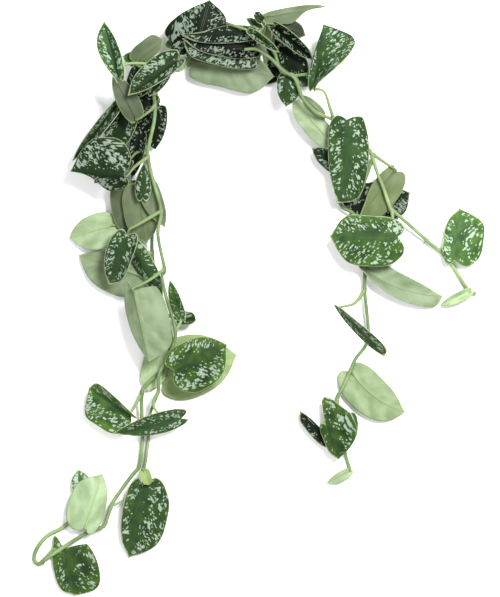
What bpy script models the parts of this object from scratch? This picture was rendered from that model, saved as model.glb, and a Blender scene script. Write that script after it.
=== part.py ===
"""A satin pothos, Scindapsus pictus: its trailing stems cut from the plant and laid down on a table.

Seven stems lie in an arch, tied together by nothing, with their cut ends under the crown of leaves.
Places are given on the sheet that the stems lie on, in millimetres: x to the right, y down the sheet,
z up from the table. The origin is at the middle of the sheet, on the table, and +Y is the top of the arch.
"""

import math
from dataclasses import dataclass

import bmesh
import bpy
from mathutils import Vector

# Driving dimensions in millimetres
MM = 0.001
SHEET_MIDDLE = (258.0, 298.5)
BLADE_THICKNESS = 0.8
NODE_SWELLING = 0.3
NODE_REACH = 3.0
TABLE_WIDTH = 800.0
TABLE_DEPTH = 20.0
SHEATH_RADIUS = 1.9
PETIOLE_RADIUS = 1.35
RIB_START_RADIUS = 1.1
RIB_END_RADIUS = 0.5
RIB_SINK = 0.15
NECK_DROP = 1.8
NECK_RADIUS = 1.0
NECK_PLACE = 0.04
APPROACH = 3.0
APPROACH_SHARE = 0.2
STUB_TAPER = 0.6
LEAF_COLOUR = (0.06, 0.16, 0.06, 1.0)
LEAF_ROUGHNESS = 0.45

# How finely each shape is divided
BLADE_ROW_LENGTH = 9.5
BLADE_ROWS = (5, 9)
BLADE_COLUMNS = 4
STEM_STEPS = 1
PETIOLE_STEPS = 1
STEM_SIDES_STEP = 1
PETIOLE_SIDES_STEP = 0
RIB_SHARES = (0.12,)
WELD = 1e-6

# Which face of a blade is turned up to the viewer
UPPER = "upper"
UNDER = "under"

# Half of a blade's outline from the notch at its base to its tip: how far along the midrib, as a share of
# the blade's length, and how far out from it, as a share of its half width
OUTLINE = (
    (0.00, 0.00), (-0.06, 0.17), (-0.10, 0.40), (-0.06, 0.66), (0.06, 0.89), (0.22, 1.00),
    (0.40, 0.98), (0.57, 0.85), (0.73, 0.62), (0.86, 0.35), (0.945, 0.13), (1.00, 0.00),
)  # fmt: skip
WIDEST = 0.22
MIDRIB_POWER = 1.25
VEIN_SWEEP = 0.06
PAST_TIP = (1.03, -0.1)
WAVES = 3


@dataclass
class Half:
    """One side of a blade: its width in millimetres, how far it is lifted off the level at the base and at
    the tip and how far it bends from midrib to edge, in degrees, and how its edge runs. A lobe over 1
    reaches further back past the notch, a blunt edge is fuller towards the tip and a low one is widest
    nearer the tip."""

    width: float
    lift: float = 0.0
    tip_lift: float = None
    curl: float = 0.0
    lobe: float = 1.0
    blunt: float = 0.45
    low: float = 0.0


@dataclass
class Leaf:
    """A leaf on the sheet: where its stalk leaves the stem, where its blade starts and ends, and its two
    sides, left and right of someone who looks from the base to the tip from above."""

    name: str
    face: str
    joint: tuple
    base: tuple
    tip: tuple
    left: Half
    right: Half
    via: tuple = ()
    arch: float = 2.0
    bow: float = 0.0
    wave: float = 0.8
    phase: float = 0.0


@dataclass
class Vine:
    """A trailing stem with its route, its leaves, its short stubs and roots, how thick it is, and whether
    it rests on the table itself and so is flat where it presses on it."""

    name: str
    route: tuple
    leaves: tuple
    stubs: tuple = ()
    radius: float = 1.9
    tip_radius: float = 1.6
    rests: bool = False


VINES = (
    Vine(
        "left_front_vine",
        route=(
            (174, 66, 20), (164, 74, 22), (156, 84, 24), (154, 95, 26), (155, 105, 30), (154, 122, 33),
            (149, 145, 34), (148, 157, 34), (153.7, 182, 33), (161, 211, 32), (158, 235, 30),
            (164.5, 269, 28), (162, 277, 27), (167, 300, 26), (175.3, 331, 22), (170.5, 352, 20),
            (159, 374, 18), (158, 392, 16), (149, 417, 8), (148, 439, 4.5), (145, 463, 5),
            (142, 472, 5),
        ),
        leaves=(
            Leaf("corner", UPPER, (176, 66), (184, 46.5, 27), (163.5, 45, 23), Half(4.5), Half(8.5)),
            Leaf("tucked", UNDER, (156, 105), (135.6, 117, 38), (112.5, 74, 42),
                 Half(10.5, 10, blunt=0.27), Half(12, -4), via=((150, 111, 36),)),
            Leaf("shoulder", UPPER, (148, 157), (124.5, 176, 50), (70.5, 171.5, 42),
                 Half(22, -45, blunt=-4.0, low=-0.04), Half(37, -4, blunt=0.74), via=((135, 167, 44),),
                 phase=1.0),
            Leaf("pleated", UPPER, (161, 211), (127, 236, 30), (109, 285, 25),
                 Half(19, 10, curl=70, blunt=0.81), Half(15.5, -12, blunt=0.27),
                 via=((139, 224, 33), (130, 229, 32))),
            Leaf("long_back", UNDER, (164.5, 269), (134, 291, 34), (149, 362, 31),
                 Half(29, -6, lobe=0.2, blunt=0.81, low=0.17), Half(15, -35, lobe=1.6, blunt=0.0),
                 via=((148, 281, 32),)),
            Leaf("bright", UPPER, (170.5, 352), (174, 370, 25), (227, 344, 23),
                 Half(20.5, -5, blunt=0.61), Half(31, -8, blunt=0.74), via=((174, 360, 22),),
                 phase=0.4),
            Leaf("folded", UPPER, (175.3, 331), (181, 317, 22), (169.5, 279.5, 20), Half(8, -30),
                 Half(9, 50, low=-0.1)),
            Leaf("crossing", UPPER, (158, 392), (181, 418.5, 22), (112.5, 433.5, 20),
                 Half(11.5, -40, blunt=-0.2), Half(22, 55, blunt=-0.2),
                 via=((153, 403, 16), (157, 412, 17), (170, 418, 18)), bow=2.0),
            Leaf("hanging", UPPER, (142, 470), (142, 487, 10), (128, 559, 3),
                 Half(31, -5, lobe=1.5, blunt=0.81, low=0.03), Half(15.5, 12), phase=2.0),
            Leaf("bud", UNDER, (142, 470), (144, 472, 13), (149, 485.5, 14), Half(6.5, 30, blunt=0.81),
                 Half(6.5, 30, blunt=0.81), wave=0.0),
        ),
    ),
    Vine(
        "left_back_vine",
        route=(
            (190, 57, 1.7), (178, 62, 1.7), (165, 72, 4), (153, 88, 6), (150, 110, 5), (146, 148, 5),
            (150, 175, 8), (152, 205, 9), (152, 225, 13), (152, 254, 14), (156, 280, 10),
            (164, 310, 9), (171, 335, 9), (172, 352, 9), (167, 365, 9.5), (146, 385, 11),
            (141.6, 394, 12), (141.6, 420, 8), (142, 440, 5), (139, 466, 5), (133, 474, 7),
            (122, 489, 9), (112, 504, 10), (107, 518, 10), (103, 527, 8), (88, 533, 6), (72, 542, 6),
            (57, 552, 6), (44.5, 560, 5), (38, 565, 3.4), (33.5, 561, 2.1), (35, 552, 2), (42, 541, 2),
            (50.6, 534, 2.2), (59.3, 530, 2.5), (70, 522, 2.5), (79, 514, 2.5),
        ),
        leaves=(
            Leaf("shaded", UPPER, (153, 88), (157, 101, 22), (136, 104, 21), Half(10),
                 Half(9, blunt=0.81)),
            Leaf("behind", UPPER, (150, 110), (156.5, 105, 18), (155, 149.5, 8),
                 Half(11.5, -12, lobe=0.1, blunt=0.4, low=-0.06), Half(20, -8, blunt=0.81)),
            Leaf("wedge", UPPER, (146, 148), (139, 129, 12), (131, 179, 11), Half(9), Half(8)),
            Leaf("striped", UPPER, (149, 185), (143, 198, 29), (144, 162, 27),
                 Half(8.5, -10, blunt=-0.2), Half(8, -10, blunt=-0.2), via=((146, 202, 20),)),
            Leaf("under_edge", UPPER, (146, 152), (128, 160, 20), (94, 183, 18), Half(9), Half(20, -3),
                 via=((137, 152, 14),)),
            Leaf("dim", UNDER, (150, 176), (122, 184, 14), (125, 236, 12), Half(12), Half(13),
                 via=((136, 181, 9),)),
            Leaf("pointed", UNDER, (151, 182), (147, 180, 26), (165, 228, 22), Half(9),
                 Half(13, blunt=0.14)),
            Leaf("wide_back", UNDER, (152, 196), (138, 188, 19), (146, 244, 18.5),
                 Half(16, blunt=0.81), Half(18, blunt=0.81)),
            Leaf("pale", UNDER, (152, 222), (112, 225, 10), (69, 238, 4), Half(20, 6), Half(16.5, 4),
                 via=((128, 214, 6), (115, 217, 8))),
            Leaf("pale_low", UNDER, (152, 254), (140, 276, 9), (78, 254.5, 3.5), Half(26.5),
                 Half(14, -4), via=((150, 266, 10),)),
            Leaf("slanted", UPPER, (152, 252), (132, 245, 22), (163, 299.5, 13), Half(11, -10),
                 Half(10, -40), via=((146, 251, 19),)),
            Leaf("small_fold", UPPER, (166, 315), (179, 319, 14), (196, 320.5, 12),
                 Half(9, 20, blunt=0.9), Half(6, 20)),
            Leaf("waist", UNDER, (171, 345), (158, 350, 5.6), (147, 392, 5.2), Half(14, blunt=0.94),
                 Half(12, blunt=0.94), arch=0.0, wave=0.2),
            Leaf("broad_back", UNDER, (168, 362), (165, 379, 3.2), (237, 355, 6.5), Half(36, -1),
                 Half(27.5, -4)),
            Leaf("left_wing", UPPER, (141.6, 394), (131, 416.5, 16), (88, 388, 10),
                 Half(27, -10, blunt=1.2, low=0.05), Half(14, 75, tip_lift=35, blunt=0.81, low=0.2),
                 phase=1.5),
            Leaf("grey", UNDER, (88, 533), (85, 528, 11.5), (102, 474, 9), Half(24, blunt=0.81),
                 Half(14, -8)),
            Leaf("peeping", UPPER, (79, 514), (88, 502, 2.5), (77, 469.5, 2.5), Half(12, blunt=0.81),
                 Half(9, blunt=0.81)),
            Leaf("lowest", UPPER, (44.5, 560), (63, 550, 3.2), (73.4, 596.6, 1.8),
                 Half(30.5, 1, lobe=0.2, blunt=0.3, low=0.33),
                 Half(14.5, 2, lobe=3.2, blunt=0.7, low=0.12), via=((53, 550, 3),)),
        ),
        stubs=(
            ((103, 527, 8), (106.5, 530.5, 6), 0.6), ((44.5, 560, 5), (42, 567, 3), 0.6),
            ((113, 506, 10), (124, 500, 9), 1.4), ((57, 552, 6), (54, 558, 3), 0.5),
        ),
        radius=1.7,
        tip_radius=2.1,
        rests=True,
    ),
    Vine(
        "left_short_vine",
        route=(
            (190, 56.5, 19), (185, 62, 21), (180, 69.5, 26), (171, 69.5, 32), (160, 66, 37),
            (150, 72, 36), (140, 80, 32), (131, 90, 27), (129, 101, 23),
        ),
        leaves=(
            Leaf("raised", UPPER, (160, 66), (118, 77, 60), (104.5, 22, 66),
                 Half(15.5, 78, tip_lift=-20), Half(13, 45, blunt=0.14),
                 via=((152, 65, 46), (136, 64, 54), (123, 67, 59))),
            Leaf("olive", UNDER, (150, 72), (136, 61, 30), (164, 40, 28),
                 Half(12.5, 8, blunt=1.2, low=0.1), Half(7.5, -10, blunt=0.81)),
            Leaf("spotted_bit", UPPER, (140, 80), (141, 62, 24), (122, 56, 22), Half(7), Half(8)),
            Leaf("fan", UPPER, (172, 69), (178, 61, 50), (128, 96.5, 53), Half(13, 50, blunt=0.3),
                 Half(16.5, -6, blunt=0.5), via=((180, 66, 42),)),
            Leaf("fan_back", UPPER, (140, 80), (134, 92, 31), (143, 57, 29), Half(10),
                 Half(14, blunt=0.68), via=((140, 86, 31),)),
            Leaf("under_fan", UPPER, (172, 69), (167, 72, 34), (149, 97, 34), Half(6.5, 5),
                 Half(14, -5)),
            Leaf("edge_on", UPPER, (129, 101), (118, 104, 27), (72, 161, 20), Half(14, 60),
                 Half(13, 65)),
            Leaf("dark_back", UPPER, (129, 101), (128, 107, 20), (114, 152, 13), Half(13.5, 8),
                 Half(20, -12)),
        ),
    ),
    Vine(
        "crown_vine",
        route=(
            (272, 71, 1.8), (262, 67, 1.9), (240, 62, 3), (212, 58, 5), (192, 60, 8), (188, 46, 12),
            (200, 34, 22), (222, 22, 28),
        ),
        leaves=(
            Leaf("top", UPPER, (200, 34), (196.5, 48, 36), (209.5, 0, 34),
                 Half(35, -5, lobe=2.2, blunt=0.2, low=-0.18),
                 Half(24, -10, lobe=0.5, blunt=0.9, low=0.05), arch=6),
            Leaf("first_shelf", UPPER, (266, 69), (252, 32.5, 42), (181, 35, 46),
                 Half(10.5, -5, blunt=0.3, low=0.12), Half(7.5, -4, blunt=-3.0), via=((263, 50, 28),)),
            Leaf("second_shelf", UPPER, (259, 66), (256, 47, 33), (181.7, 39, 42), Half(14, low=0.03),
                 Half(12)),
            Leaf("third_shelf", UPPER, (251, 64), (254, 57, 27), (183, 41.5, 39),
                 Half(16, blunt=0.9, low=0.15), Half(13)),
            Leaf("hollow_one", UPPER, (271, 70), (285, 60, 8), (262, 84, 5), Half(10), Half(12)),
            Leaf("silver_back", UNDER, (192, 60), (193, 61, 13), (275, 76, 12), Half(16, blunt=1.3),
                 Half(20, lobe=0.3, blunt=1.6), via=((188, 65, 9), (189, 61.5, 11.5))),
            Leaf("young", UPPER, (222, 22), (250.5, 32.5, 50), (279.6, 53.6, 52), Half(7, 50),
                 Half(7, 50), via=((236, 27, 47),), wave=0.2),
        ),
        rests=True,
    ),
    Vine(
        "crown_right_vine",
        route=((263, 34, 30), (274, 51, 24), (284, 74, 26), (310, 74, 27)),
        leaves=(
            Leaf("top_pale", UNDER, (267, 46), (268, 17, 48), (326.5, 7, 35),
                 Half(5.8, 15, blunt=-0.5, low=0.2), Half(10.5, -15, blunt=-12.0, low=0.08),
                 via=((269, 30, 38),)),
            Leaf("dusky", UNDER, (265, 40), (271, 21, 36), (306, 36, 30), Half(10, 10, blunt=1.0),
                 Half(10, -10, blunt=0.81)),
            Leaf("ridge", UPPER, (270, 53), (274, 28, 41), (313.5, 60.5, 30), Half(12, 50),
                 Half(10, 50), via=((273, 42, 32),)),
            Leaf("dark_blade", UPPER, (270, 53), (282, 46, 22), (309, 74, 18), Half(11),
                 Half(14, blunt=0.81)),
            Leaf("deep", UPPER, (284, 74), (288, 66, 13), (312, 86, 11), Half(11), Half(10)),
            Leaf("tip_bit", UPPER, (262, 34), (260, 29, 35), (245.5, 18, 35), Half(3.5), Half(5)),
            Leaf("knob", UPPER, (262, 34), (262, 22, 46), (255, 12.5, 44), Half(5, 20), Half(5, 20),
                 via=((265, 28, 38),)),
            Leaf("hollow_two", UPPER, (268, 50), (273, 44, 15), (294, 76, 13), Half(9), Half(10)),
        ),
    ),
    Vine(
        "right_front_vine",
        route=(
            (244.5, 50, 44), (256, 49.5, 44.5), (264, 54, 45), (273, 61, 44), (284, 72, 42),
            (295, 79, 41), (301.7, 96.6, 38), (312, 109, 34), (320.8, 114.8, 30), (334, 120, 22),
            (350, 134, 14), (366.5, 147, 13), (371, 152, 13), (373, 158, 15), (378, 174, 18),
            (383, 186, 19), (389.5, 205, 19), (392, 210, 18), (401, 217, 13), (424, 237, 7),
            (428, 241, 6), (441, 251, 4.5), (447, 258, 4), (455, 268, 3.2), (469, 290, 2.2),
            (477, 293.6, 2),
        ),
        leaves=(
            Leaf("little_heart", UPPER, (284, 72), (285, 76, 35), (286, 107, 31),
                 Half(14, -4, blunt=0.81), Half(9, -20)),
            Leaf("flag", UPPER, (334, 120), (314, 86, 42), (323.5, 23.8, 34),
                 Half(7.5, -5, tip_lift=-80, blunt=0.3),
                 Half(36, 86, tip_lift=-15, blunt=0.81, low=0.2), via=((330, 108, 32), (324, 92, 40))),
            Leaf("great_heart", UPPER, (352, 136), (346.5, 119.5, 34), (337, 203.4, 24),
                 Half(21, -10, lobe=0.2, blunt=1.0, low=0.18), Half(21, -10, lobe=0.7, blunt=0.27),
                 bow=6, wave=1.4, phase=0.7),
            Leaf("heart_behind", UPPER, (373, 158), (352, 210, 4.5), (411, 192, 4),
                 Half(23, blunt=0.5, low=-0.12), Half(21, blunt=1.0, low=0.1), via=((362, 190, 7),)),
            Leaf("veil", UNDER, (371, 152), (394, 172, 13), (358, 220, 12),
                 Half(19, blunt=0.54, low=0.08), Half(10, blunt=-1.0), via=((386, 163, 15),)),
            Leaf("broad_heart", UPPER, (392, 210), (398, 237, 29), (329.5, 236, 24),
                 Half(30, -8, blunt=1.0), Half(21, -12, blunt=1.5), phase=1.2),
            Leaf("round_end", UPPER, (447, 258), (454.6, 260, 13), (460, 207.5, 9),
                 Half(13, -8, blunt=0.7), Half(28, -8, blunt=1.1, low=0.06), phase=2.2),
            Leaf("furled", UNDER, (469, 290), (470, 292, 4.6), (441, 306, 3.4), Half(8, 50),
                 Half(8, 50), wave=0.2),
        ),
        stubs=(((428, 241, 6), (431, 236.5, 4), 0.6), ((427, 240, 6), (424, 243.5, 4), 0.5)),
        radius=1.7,
        tip_radius=1.9,
        rests=True,
    ),
    Vine(
        "right_back_vine",
        route=(
            (298, 92, 8), (308, 104, 8), (320, 118, 8), (330, 140, 8), (335, 175, 7),
            (340.7, 204, 8.5), (355, 215, 9), (363, 240, 10), (365, 268, 11), (365, 290, 9),
            (366, 300, 9), (369, 333, 8), (366, 346, 7), (356.6, 358, 6.5), (350.8, 371, 7),
            (342, 390.5, 7), (338, 398, 7), (340, 430, 5), (346, 455, 3), (350, 469, 1.5),
        ),
        leaves=(
            Leaf("long_pale", UNDER, (330, 140), (329, 139, 17), (292, 98, 18), Half(13, blunt=0.68),
                 Half(10)),
            Leaf("sliver", UNDER, (322, 120), (322, 114, 21.5), (303, 95, 23), Half(5), Half(5)),
            Leaf("dark_tip", UPPER, (335, 178), (346, 171, 16), (311.5, 147.4, 12), Half(10), Half(10)),
            Leaf("tongue", UNDER, (364, 250), (367, 269, 9), (443.5, 296, 5), Half(15, -4, blunt=0.27),
                 Half(12.5, 66, tip_lift=-5, blunt=1.1, low=0.22), bow=-7),
            Leaf("ribbon", UPPER, (365, 290), (342, 309.5, 22), (384.5, 357, 20),
                 Half(14, 88, tip_lift=45, low=0.25), Half(10, -55, lobe=1.5), via=((355, 303, 16),)),
            Leaf("pale_heart", UNDER, (350.8, 371), (352.7, 373, 4), (406, 412.5, 4),
                 Half(19, -3, blunt=0.54), Half(22, 2, blunt=0.81), bow=-6),
            Leaf("twisted_heart", UPPER, (338, 398), (326, 425, 16), (338.6, 460, 11),
                 Half(31.5, 3, lobe=6.0, blunt=0.4, low=-0.2), Half(9, -15, blunt=1.0),
                 via=((336, 412, 10),), bow=1.5),
            Leaf("narrow_dark", UPPER, (340, 432), (327, 442, 8), (300, 411, 5),
                 Half(8, blunt=0.81, low=0.1), Half(4)),
            Leaf("last", UNDER, (350, 469), (350, 471, 3), (327, 483.6, 2), Half(6.5, 10, blunt=0.68),
                 Half(4, 10), wave=0.2),
        ),
        rests=True,
    ),
)


def sheet(x, y, z):
    """A place on the sheet, in metres in the object's own frame."""
    return Vector(((x - SHEET_MIDDLE[0]) * MM, (SHEET_MIDDLE[1] - y) * MM, z * MM))


def between_points(a, b, c, d, t):
    """The point at a share t of the way from b to c, on a smooth curve that also goes through a and d."""
    return 0.5 * (2 * b + (c - a) * t + (2 * a - 5 * b + 4 * c - d) * t**2 + (3 * b - a - 3 * c + d) * t**3)


def between(start, end, share):
    return start + (end - start) * share


def smooth_path(points, steps):
    """A smooth curve through the points, with this many pieces between one point and the next."""
    points = [Vector(p) for p in points]
    ends = [points[0] * 2 - points[1]] + points + [points[-1] * 2 - points[-2]]
    path = []
    for a, b, c, d in zip(ends, ends[1:], ends[2:], ends[3:]):
        for i in range(steps):
            t = i / steps
            path.append(between_points(a, b, c, d, t))
    return path + [points[-1]]


def outline(u):
    """A point of the half outline, at a share u of the way from the notch to the tip."""
    place = min(max(u, 0.0), 1.0) * (len(OUTLINE) - 1)
    i = min(int(place), len(OUTLINE) - 2)
    t = place - i
    ends = (OUTLINE[0], *OUTLINE, PAST_TIP)
    return between_points(*(Vector(p) for p in ends[i : i + 4]), t)


def across(half, distance, lift):
    """How far out and up a point lies on one side of a blade, at a distance from the midrib."""
    start = math.radians(lift)
    bend = math.radians(half.curl) / half.width
    if abs(bend) < WELD:
        return distance * math.cos(start), distance * math.sin(start)
    end = start + bend * distance
    return (math.sin(end) - math.sin(start)) / bend, (math.cos(start) - math.cos(end)) / bend


def midrib(leaf, x):
    """The place on the midrib at a share x of the blade's length, and the directions along it, to the
    left and up from the blade."""
    base, tip = sheet(*leaf.base), sheet(*leaf.tip)
    along = tip - base
    side = Vector((0, 0, 1)).cross(along).normalized()
    up = along.normalized().cross(side)
    hump = 4 * x * (1 - x)
    slope = 4 * (1 - 2 * x)
    bend = up * (leaf.arch * MM) + side * (leaf.bow * MM)
    forward = (along + bend * slope).normalized()
    side = (side - forward * side.dot(forward)).normalized()
    return base + along * x + bend * hump, forward, side, forward.cross(side)


def blade_point(leaf, u, v):
    """A point of the blade, at a share u from base to tip and v from the right edge, -1, to the left, 1."""
    half = leaf.left if v >= 0 else leaf.right
    reach = abs(v)
    edge_x, edge_y = outline(u)
    if edge_x > WIDEST:
        edge_y = max(edge_y, 0.0) ** (1 - half.blunt * (1 - edge_x**4))
    edge_x = edge_x * half.lobe if edge_x < 0 else edge_x + half.low * math.sin(math.pi * edge_x)
    root_x = u**MIDRIB_POWER
    x = root_x + (edge_x - root_x) * reach - VEIN_SWEEP * reach * (1 - reach) * math.sin(math.pi * u)
    share = min(max(x, 0.0), 1.0)
    lift = half.lift if half.tip_lift is None else between(half.lift, half.tip_lift, share)
    out, rise = across(half, edge_y * half.width * reach, lift)
    waves = math.sin(WAVES * math.pi * u + leaf.phase + (v > 0))
    rise += leaf.wave * reach**2 * math.sin(math.pi * u) * waves
    place, forward, side, up = midrib(leaf, x)
    return place + side * (math.copysign(out, v) * MM) + up * (rise * MM)


def mesh_object(name, mesh, collection):
    obj = bpy.data.objects.new(name, mesh)
    collection.objects.link(obj)
    return obj


def blade_rows(leaf):
    """More rows for a longer blade."""
    length = (Vector(leaf.tip) - Vector(leaf.base)).length
    return min(max(round(length / BLADE_ROW_LENGTH), BLADE_ROWS[0]), BLADE_ROWS[1])


def make_blade(leaf, collection):
    """A blade as a grid laid over its outline and then given its thickness."""
    sheet_mesh = bmesh.new()
    bmesh.ops.create_grid(sheet_mesh, x_segments=blade_rows(leaf), y_segments=BLADE_COLUMNS, size=1.0)
    for vertex in sheet_mesh.verts:
        vertex.co = blade_point(leaf, (vertex.co.x + 1) / 2, vertex.co.y)
    bmesh.ops.remove_doubles(sheet_mesh, verts=sheet_mesh.verts, dist=WELD)
    bmesh.ops.triangulate(sheet_mesh, faces=sheet_mesh.faces, quad_method="SHORT_EDGE")
    mesh = bpy.data.meshes.new(leaf.name)
    sheet_mesh.to_mesh(mesh)
    sheet_mesh.free()
    blade = mesh_object(leaf.name + "_blade", mesh, collection)
    wall = blade.modifiers.new("thickness", "SOLIDIFY")
    wall.thickness = BLADE_THICKNESS * MM
    wall.offset = 0.0
    return blade


def make_tube(name, path, radii, sides_step, collection):
    """A round stalk along a path, with its own radius at every point."""
    curve = bpy.data.curves.new(name, "CURVE")
    curve.dimensions = "3D"
    curve.bevel_depth = MM
    curve.bevel_resolution = sides_step
    curve.use_fill_caps = True
    spline = curve.splines.new("POLY")
    spline.points.add(len(path) - 1)
    for point, place, radius in zip(spline.points, path, radii):
        point.co = (*place, 1.0)
        point.radius = radius
    tube = bpy.data.objects.new(name + "_curve", curve)
    collection.objects.link(tube)
    bpy.context.view_layer.update()
    mesh = bpy.data.meshes.new_from_object(tube.evaluated_get(bpy.context.evaluated_depsgraph_get()))
    welded = bmesh.new()
    welded.from_mesh(mesh)
    bmesh.ops.remove_doubles(welded, verts=welded.verts, dist=WELD)
    welded.to_mesh(mesh)
    welded.free()
    solid = mesh_object(name, mesh, collection)
    solid.matrix_world = tube.matrix_world
    bpy.data.objects.remove(tube)
    return solid


def nearest(path, x, y):
    """The point of a path that lies under a place on the sheet."""
    target = sheet(x, y, 0)
    return min(path, key=lambda p: (p.xy - target.xy).length)


def stem_path(vine):
    return smooth_path([sheet(*p) for p in vine.route], STEM_STEPS)


def stem_radii(vine, path):
    """The stem changes evenly in thickness along its length and swells at every joint."""
    joints = [nearest(path, *leaf.joint) for leaf in vine.leaves]
    radii = []
    for i, place in enumerate(path):
        radius = between(vine.radius, vine.tip_radius, i / (len(path) - 1))
        gap = min((place - joint).length for joint in joints) / (NODE_REACH * MM)
        radii.append(radius * (1 + NODE_SWELLING * math.exp(-(gap**2))))
    return radii


def petiole_path(leaf, stem):
    """A leaf stalk from the stem to the blade, going on as the raised rib of the blade's underside. Where
    it comes from the tip's side, it meets an upper face from below."""
    start = nearest(stem, *leaf.joint)
    base, forward, side, up = midrib(leaf, 0.0)
    below = -1.0 if leaf.face == UPPER else 1.0
    route = [start] + [sheet(*p) for p in leaf.via]
    if leaf.face == UPPER and (start - base).dot(forward) > 0:
        place, forward, side, up = midrib(leaf, NECK_PLACE)
        route.append(place + up * (below * NECK_DROP * MM))
    else:
        neck = base + up * (below * NECK_DROP * MM)
        approach = min(APPROACH * MM, APPROACH_SHARE * (base - start).length)
        route += [neck - forward * approach, neck]
    stalk = smooth_path(route, PETIOLE_STEPS)
    last = len(stalk) - 1
    radii = [between(SHEATH_RADIUS, PETIOLE_RADIUS, min(1.0, 2 * i / last)) for i in range(last)]
    radii.append(NECK_RADIUS)
    for share in RIB_SHARES:
        radius = between(RIB_START_RADIUS, RIB_END_RADIUS, share / RIB_SHARES[-1])
        place, forward, side, up = midrib(leaf, share)
        stalk.append(place + up * (below * (BLADE_THICKNESS / 2 + RIB_SINK * radius) * MM))
        radii.append(radius)
    return stalk, radii


def make_petiole(leaf, stem, collection):
    path, radii = petiole_path(leaf, stem)
    return make_tube(leaf.name + "_petiole", path, radii, PETIOLE_SIDES_STEP, collection)


def make_stub(name, start, end, radius, collection):
    """A short root or the stub of a shoot, thinner at its free end."""
    path = (sheet(*start), sheet(*end))
    return make_tube(name, path, (radius, radius * STUB_TAPER), PETIOLE_SIDES_STEP, collection)


def joined(name, parts, stem, collection):
    """One solid of a stem and everything that grows from it."""
    union = stem.modifiers.new("union", "BOOLEAN")
    union.operation = "UNION"
    union.solver = "EXACT"
    union.operand_type = "COLLECTION"
    union.collection = parts
    bpy.context.view_layer.update()
    mesh = bpy.data.meshes.new_from_object(stem.evaluated_get(bpy.context.evaluated_depsgraph_get()))
    for obj in list(parts.objects) + [stem]:
        bpy.data.objects.remove(obj)
    return mesh_object(name, mesh, collection)


def leaf_material():
    material = bpy.data.materials.new("satin leaf")
    material.use_nodes = True
    shader = material.node_tree.nodes["Principled BSDF"]
    shader.inputs["Base Color"].default_value = LEAF_COLOUR
    shader.inputs["Roughness"].default_value = LEAF_ROUGHNESS
    shader.inputs["Metallic"].default_value = 0.0
    return material


def make_table(collection):
    """What the stems rest on: a block whose top is the table, wider than the sheet."""
    block = bmesh.new()
    bmesh.ops.create_cube(block, size=1.0)
    size = Vector((TABLE_WIDTH, TABLE_WIDTH, TABLE_DEPTH)) * MM
    for vertex in block.verts:
        vertex.co = vertex.co * size
        vertex.co.z -= size.z / 2
    mesh = bpy.data.meshes.new("table")
    block.to_mesh(mesh)
    block.free()
    table = mesh_object("table", mesh, collection)
    table.hide_render = True
    table.display_type = "WIRE"
    return table


def make_vine(vine, collection, material, table):
    parts = bpy.data.collections.new(vine.name + "_parts")
    bpy.context.scene.collection.children.link(parts)
    path = stem_path(vine)
    stem = make_tube(vine.name + "_stem", path, stem_radii(vine, path), STEM_SIDES_STEP, collection)
    for leaf in vine.leaves:
        make_blade(leaf, parts)
        make_petiole(leaf, path, parts)
    for i, (start, end, radius) in enumerate(vine.stubs):
        make_stub(f"stub_{i + 1}", start, end, radius, parts)
    whole = joined(vine.name, parts, stem, collection)
    bpy.data.collections.remove(parts)
    whole.data.materials.clear()
    whole.data.materials.append(material)
    if vine.rests:
        flat = whole.modifiers.new("table", "BOOLEAN")
        flat.operation = "DIFFERENCE"
        flat.solver = "EXACT"
        flat.object = table
    return whole


def main():
    for obj in list(bpy.data.objects):
        bpy.data.objects.remove(obj)
    collection = bpy.data.collections.new("satin pothos")
    bpy.context.scene.collection.children.link(collection)
    cutters = bpy.data.collections.new("cutters")
    bpy.context.scene.collection.children.link(cutters)
    material = leaf_material()
    table = make_table(cutters)
    for vine in VINES:
        make_vine(vine, collection, material, table)


if __name__ == "__main__":
    main()
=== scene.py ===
"""The looks of a satin pothos, Scindapsus pictus: trailing stems cut from the plant and laid on a table.

Seven stems lie in an arch, with their cut ends under the crown of leaves. Their routes and leaves are
given on the sheet that they lie on, in millimetres: x to the right, y down the sheet, z up from the table.
"""

import math
from dataclasses import dataclass

import bpy
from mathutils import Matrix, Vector, noise


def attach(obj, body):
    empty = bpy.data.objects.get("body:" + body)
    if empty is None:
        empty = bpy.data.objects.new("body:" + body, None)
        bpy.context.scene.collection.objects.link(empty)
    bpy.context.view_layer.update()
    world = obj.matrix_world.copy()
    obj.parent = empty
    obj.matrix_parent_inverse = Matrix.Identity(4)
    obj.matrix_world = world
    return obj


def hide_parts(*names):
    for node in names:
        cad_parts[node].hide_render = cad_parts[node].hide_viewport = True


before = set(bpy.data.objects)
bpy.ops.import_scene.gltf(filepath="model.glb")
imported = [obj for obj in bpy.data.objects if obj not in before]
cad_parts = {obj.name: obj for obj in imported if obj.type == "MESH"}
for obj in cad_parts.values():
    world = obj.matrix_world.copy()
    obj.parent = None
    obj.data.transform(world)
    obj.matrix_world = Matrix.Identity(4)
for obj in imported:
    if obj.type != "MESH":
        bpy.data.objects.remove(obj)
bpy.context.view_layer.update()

# Driving dimensions in millimetres
MM = 0.001
SHEET_MIDDLE = (258.0, 298.5)
BLADE_THICKNESS = 0.6
NODE_SWELLING = 0.3
NODE_REACH = 3.0
STEM_UNEVEN = 0.08
STEM_GRAIN = 90.0
STUB_TAPER = 0.6
ROOT_RADIUS = 1.0

# A leaf stalk: its sheath at the stem, its neck at the blade and the rib that goes on under the blade
SHEATH_RADIUS = 1.9
SHEATH_END = 0.5
PETIOLE_RADIUS = 1.35
NECK_START = 0.7
NECK_RADIUS = 1.0
NECK_DROP = 1.8
NECK_PLACE = 0.04
APPROACH = 3.0
APPROACH_SHARE = 0.2
RIB_START_RADIUS = 0.85
RIB_END_RADIUS = 0.25
RIB_SINK = 0.4
RIB_REACH = 0.92

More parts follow.
